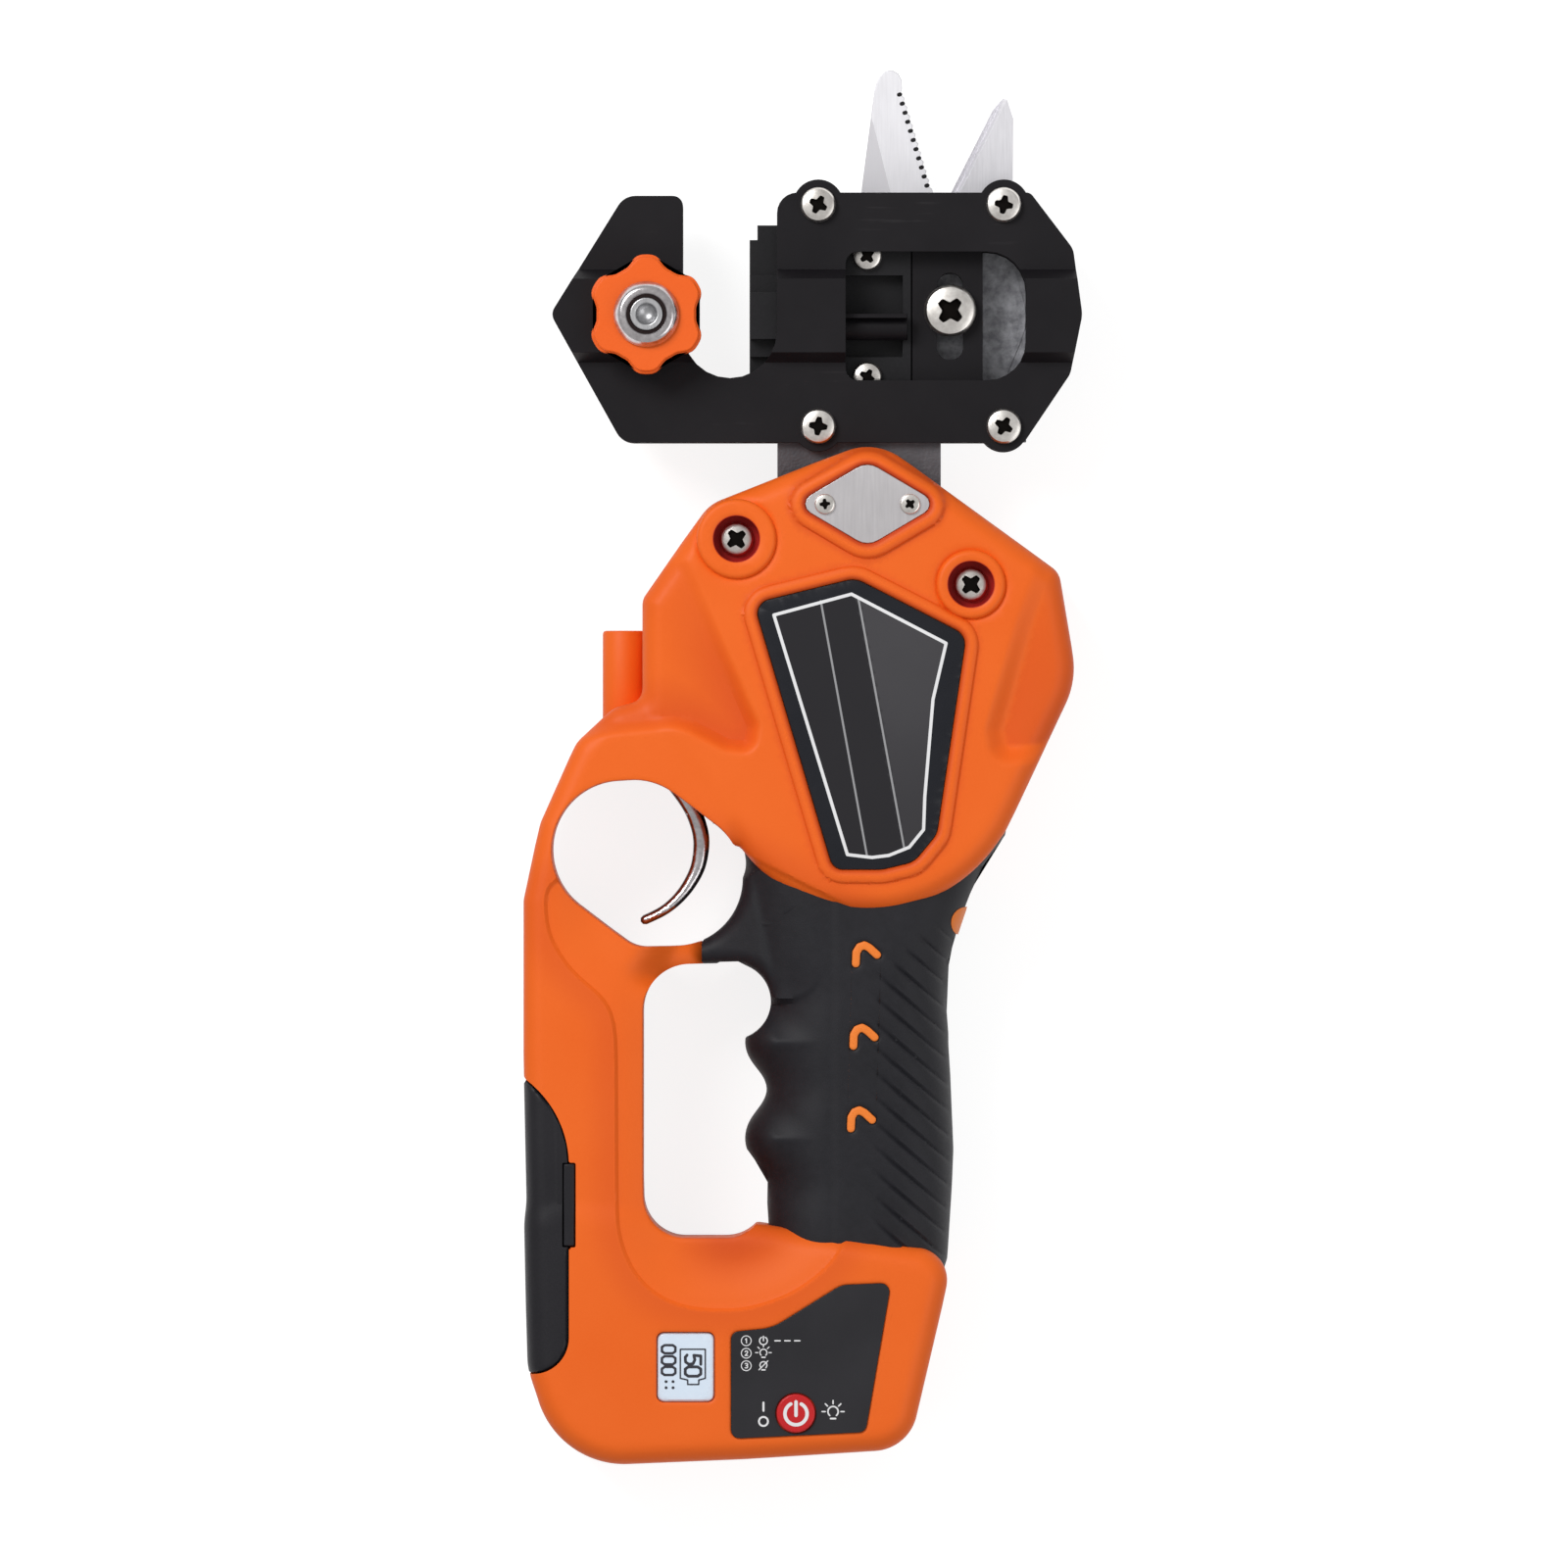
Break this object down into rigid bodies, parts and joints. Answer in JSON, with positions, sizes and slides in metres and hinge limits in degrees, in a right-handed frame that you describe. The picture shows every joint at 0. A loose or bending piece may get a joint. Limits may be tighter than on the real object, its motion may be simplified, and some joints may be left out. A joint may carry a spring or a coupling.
{
  "type": "battery pruner with grafting head",
  "caption": "Hand-held battery pruner with a grafting head: plated slider and omega blade in front of scissor blades, orange housing with finger guard, rubber grip and side battery pack.",
  "frame": {"origin": "under the middle of the tool, on the floor plane that the back shell rests on", "axes": "+Y along the tool towards the blade tips, +Z out of the front face, +X towards the right-hand side of the front view"},
  "size_m": [0.1366, 0.3416, 0.0503],
  "materials": {
    "orange_shell": "fine-textured moulded plastic",
    "orange_knob": "satin moulded plastic",
    "grip_rubber": "soft moulded rubber",
    "nickel": "nickel-plated",
    "satin_aluminium": "satin",
    "dark_plastic": "satin gloss",
    "clear_lens": "clear",
    "lamp_emitter": "clear-coated",
    "black_plate": "black oxide, satin",
    "black_nylon": "moulded",
    "steel": "machined",
    "blade_steel": "ground",
    "white_nylon": "machined",
    "board_green": "solder mask",
    "display_face": "clear window",
    "red_plastic": "satin",
    "cell_wrap": "shrink wrap",
    "contact_brass": "plated"
  },
  "bodies": {
    "housing": {"front_shell": "orange_shell", "back_shell": "orange_shell", "front_grip": "grip_rubber", "back_grip": "grip_rubber", "grip_chevrons": "orange_shell", "thumb_inlay": "orange_shell", "shell_screws": "nickel", "back_screws": "nickel", "cover_plate": "satin_aluminium", "cover_screws": "nickel", "nameplate": "dark_plastic", "lamp_lens": "clear_lens", "lamp_led": "lamp_emitter", "front_plate": "black_plate", "back_plate": "black_plate", "plate_standoffs": "steel", "plate_screws": "nickel", "anvil": "white_nylon", "anvil_bolt": "steel", "fixed_blade": "blade_steel", "blade_screw": "nickel", "pivot_bolt": "steel", "pivot_nut": "steel", "gear_head": "satin_aluminium", "pinion_bearing": "steel", "gearbox": "steel", "motor": "steel", "trigger_pin": "steel", "trigger_spring": "steel", "micro_switch": "dark_plastic", "circuit_board": "board_green", "display": "display_face", "control_panel": "dark_plastic"},
    "lever": {"moving_blade": "blade_steel", "sector_gear": "steel", "drive_screw": "nickel"},
    "slider": {"slide_block": "black_plate", "blade_holder": "black_nylon", "holder_screws": "nickel", "graft_blade": "blade_steel"},
    "pinion": {"bevel_pinion": "steel"},
    "trigger_lever": {"trigger": "steel"},
    "plunger": {"switch_plunger": "dark_plastic"},
    "knob": {"anvil_knob": "orange_knob", "knob_nut": "steel"},
    "power_key": {"power_button": "red_plastic"},
    "pack": {"battery_case": "dark_plastic", "battery_cells": "cell_wrap", "battery_contacts": "contact_brass"},
    "front_latch_key": {"front_latch": "dark_plastic"},
    "back_latch_key": {"back_latch": "dark_plastic"}
  },
  "joints": [
    {"name": "blade_swing", "type": "hinge", "parent": "housing", "child": "lever", "pos_m": [0.01575, 0.0638, 0.0135], "axis": [0, 0, 1], "range_deg": [0, 14]},
    {"name": "graft_slide", "type": "slide", "parent": "housing", "child": "slider", "axis": [-1, 0, 0], "range_m": [0, 0.01215]},
    {"name": "pinion_spin", "type": "hinge", "parent": "housing", "child": "pinion", "pos_m": [0.01575, 0.0338, 0.024], "axis": [0, -1, 0], "range_deg": [0, 56.1]},
    {"name": "trigger_pull", "type": "hinge", "parent": "housing", "child": "trigger_lever", "pos_m": [-0.02785, -0.0045, 0.024], "axis": [0, 0, 1], "range_deg": [0, 10], "stiffness_Nm_per_rad": 0.2, "springref_deg": -5.73},
    {"name": "plunger_press", "type": "slide", "parent": "housing", "child": "plunger", "axis": [1, 0, 0], "range_m": [0, 0.002]},
    {"name": "knob_turn", "type": "hinge", "parent": "housing", "child": "knob", "pos_m": [-0.03825, 0.1102, 0.043], "axis": [0, 0, 1], "continuous": true},
    {"name": "power_press", "type": "slide", "parent": "housing", "child": "power_key", "axis": [0, 0, -1], "range_m": [0, 0.0008], "stiffness_N_per_m": 400, "springref_m": -0.001},
    {"name": "battery_slide", "type": "slide", "parent": "housing", "child": "pack", "axis": [-1, 0, 0], "range_m": [0, 0.035]},
    {"name": "front_latch_press", "type": "slide", "parent": "pack", "child": "front_latch_key", "axis": [0, 0, -1], "range_m": [0, 0.0012], "stiffness_N_per_m": 600, "springref_m": -0.001},
    {"name": "back_latch_press", "type": "slide", "parent": "pack", "child": "back_latch_key", "axis": [0, 0, 1], "range_m": [0, 0.0012], "stiffness_N_per_m": 600, "springref_m": -0.001}
  ],
  "couplings": [
    {"joint": "graft_slide", "follows": "blade_swing", "m_per_rad": 0.0496},
    {"joint": "pinion_spin", "follows": "blade_swing", "ratio": 4},
    {"joint": "plunger_press", "follows": "trigger_pull", "m_per_rad": 0.0113}
  ]
}
